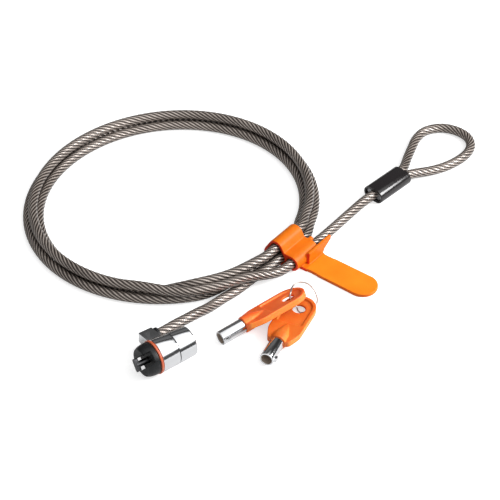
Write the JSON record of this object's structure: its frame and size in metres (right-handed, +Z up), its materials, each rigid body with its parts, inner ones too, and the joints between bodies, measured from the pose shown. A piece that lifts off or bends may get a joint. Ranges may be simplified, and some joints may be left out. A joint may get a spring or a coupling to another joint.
{
  "type": "laptop cable lock",
  "caption": "Barrel lock head with a T-bar nose on a coiled steel cable that ends in a crimped eye, with a cable strap and tubular keys on a wire ring.",
  "frame": {"origin": "on the table under the strap, at the flat underside of strap_band, where the strap's length begins", "axes": "+Z up; the lock head's axis runs along X, with its nose towards -X; -Y towards the keys"},
  "size_m": [0.2704, 0.2217, 0.0182],
  "materials": {
    "chrome": "polished",
    "steel_parts": "satin",
    "brass_pins": "satin",
    "black_plastic": "matte",
    "orange_plastic": "satin",
    "accent_orange": "satin",
    "steel_cable": "wire rope under a clear jacket",
    "crimp_aluminium": "satin"
  },
  "bodies": {
    "cable": {"cable_lead": "steel_cable", "cable_coil": "steel_cable", "cable_tail": "steel_cable", "cable_eye": "steel_cable", "crimp_ferrule": "crimp_aluminium", "ferrule_cover": "black_plastic", "strap_band": "orange_plastic", "swivel_collar": "chrome", "cable_exit_bush": "black_plastic", "cable_end_stop": "steel_parts", "arm_cross_pin": "steel_parts"},
    "head": {"lock_housing": "chrome", "accent_ring": "accent_orange", "nose_bumper": "black_plastic", "nose_plate": "steel_parts", "plate_screw_1": "steel_parts", "plate_screw_2": "steel_parts", "driver_block": "brass_pins", "block_pin": "steel_parts", "driver_pin_1": "brass_pins", "driver_pin_2": "brass_pins", "driver_pin_3": "brass_pins", "driver_pin_4": "brass_pins", "driver_pin_5": "brass_pins", "driver_pin_6": "brass_pins", "driver_pin_7": "brass_pins", "pin_spring_1": "steel_parts", "pin_spring_2": "steel_parts", "pin_spring_3": "steel_parts", "pin_spring_4": "steel_parts", "pin_spring_5": "steel_parts", "pin_spring_6": "steel_parts", "pin_spring_7": "steel_parts"},
    "core": {"core_plug": "steel_parts", "t_bar": "steel_parts"},
    "key_pin_1": {"key_pin_1": "brass_pins"},
    "key_pin_2": {"key_pin_2": "brass_pins"},
    "key_pin_3": {"key_pin_3": "brass_pins"},
    "key_pin_4": {"key_pin_4": "brass_pins"},
    "key_pin_5": {"key_pin_5": "brass_pins"},
    "key_pin_6": {"key_pin_6": "brass_pins"},
    "key_pin_7": {"key_pin_7": "brass_pins"},
    "tongue": {"strap_tongue": "orange_plastic"},
    "ring": {"key_ring": "steel_parts"},
    "key_a": {"key_a_bow": "orange_plastic", "key_a_tube": "chrome"},
    "key_b": {"key_b_bow": "orange_plastic", "key_b_tube": "chrome"}
  },
  "joints": [
    {"name": "head_swivel", "type": "hinge", "parent": "cable", "child": "head", "pos_m": [-0.1092, -0.0311, 0.0091], "axis": [1, 0, 0], "continuous": true},
    {"name": "core_turn", "type": "hinge", "parent": "head", "child": "core", "pos_m": [-0.1092, -0.0311, 0.0091], "axis": [1, 0, 0], "range_deg": [0, 90]},
    {"name": "pin_1_travel", "type": "slide", "parent": "core", "child": "key_pin_1", "axis": [1, 0, 0], "range_m": [0, 0.0011]},
    {"name": "pin_2_travel", "type": "slide", "parent": "core", "child": "key_pin_2", "axis": [1, 0, 0], "range_m": [0, 0.0003]},
    {"name": "pin_3_travel", "type": "slide", "parent": "core", "child": "key_pin_3", "axis": [1, 0, 0], "range_m": [0, 0.0008]},
    {"name": "pin_4_travel", "type": "slide", "parent": "core", "child": "key_pin_4", "axis": [1, 0, 0], "range_m": [0, 0.0001]},
    {"name": "pin_5_travel", "type": "slide", "parent": "core", "child": "key_pin_5", "axis": [1, 0, 0], "range_m": [0, 0.001]},
    {"name": "pin_6_travel", "type": "slide", "parent": "core", "child": "key_pin_6", "axis": [1, 0, 0], "range_m": [0, 0.0005]},
    {"name": "pin_7_travel", "type": "slide", "parent": "core", "child": "key_pin_7", "axis": [1, 0, 0], "range_m": [0, 0.0007]},
    {"name": "tongue_bend", "type": "hinge", "parent": "cable", "child": "tongue", "pos_m": [0.00384, -0.01257, 0.002], "axis": [-0.9563, -0.2924, 0], "range_deg": [0, 80]},
    {"name": "ring_lift", "type": "slide", "parent": "cable", "child": "ring", "axis": [0, 0, 1], "range_m": [0, 0.06]},
    {"name": "key_a_turn", "type": "hinge", "parent": "ring", "child": "key_a", "pos_m": [-0.0278, -0.0336, 0.0085], "axis": [0, 0, 1], "range_deg": [-12, 0]},
    {"name": "key_b_turn", "type": "hinge", "parent": "ring", "child": "key_b", "pos_m": [-0.0247, -0.0392, 0.00353], "axis": [0, 0, 1], "range_deg": [0, 60]}
  ],
  "couplings": [
    {"joint": "pin_2_travel", "follows": "pin_1_travel", "ratio": 0.27273},
    {"joint": "pin_3_travel", "follows": "pin_1_travel", "ratio": 0.72727},
    {"joint": "pin_4_travel", "follows": "pin_1_travel", "ratio": 0.090909},
    {"joint": "pin_5_travel", "follows": "pin_1_travel", "ratio": 0.90909},
    {"joint": "pin_6_travel", "follows": "pin_1_travel", "ratio": 0.45454},
    {"joint": "pin_7_travel", "follows": "pin_1_travel", "ratio": 0.63636}
  ]
}
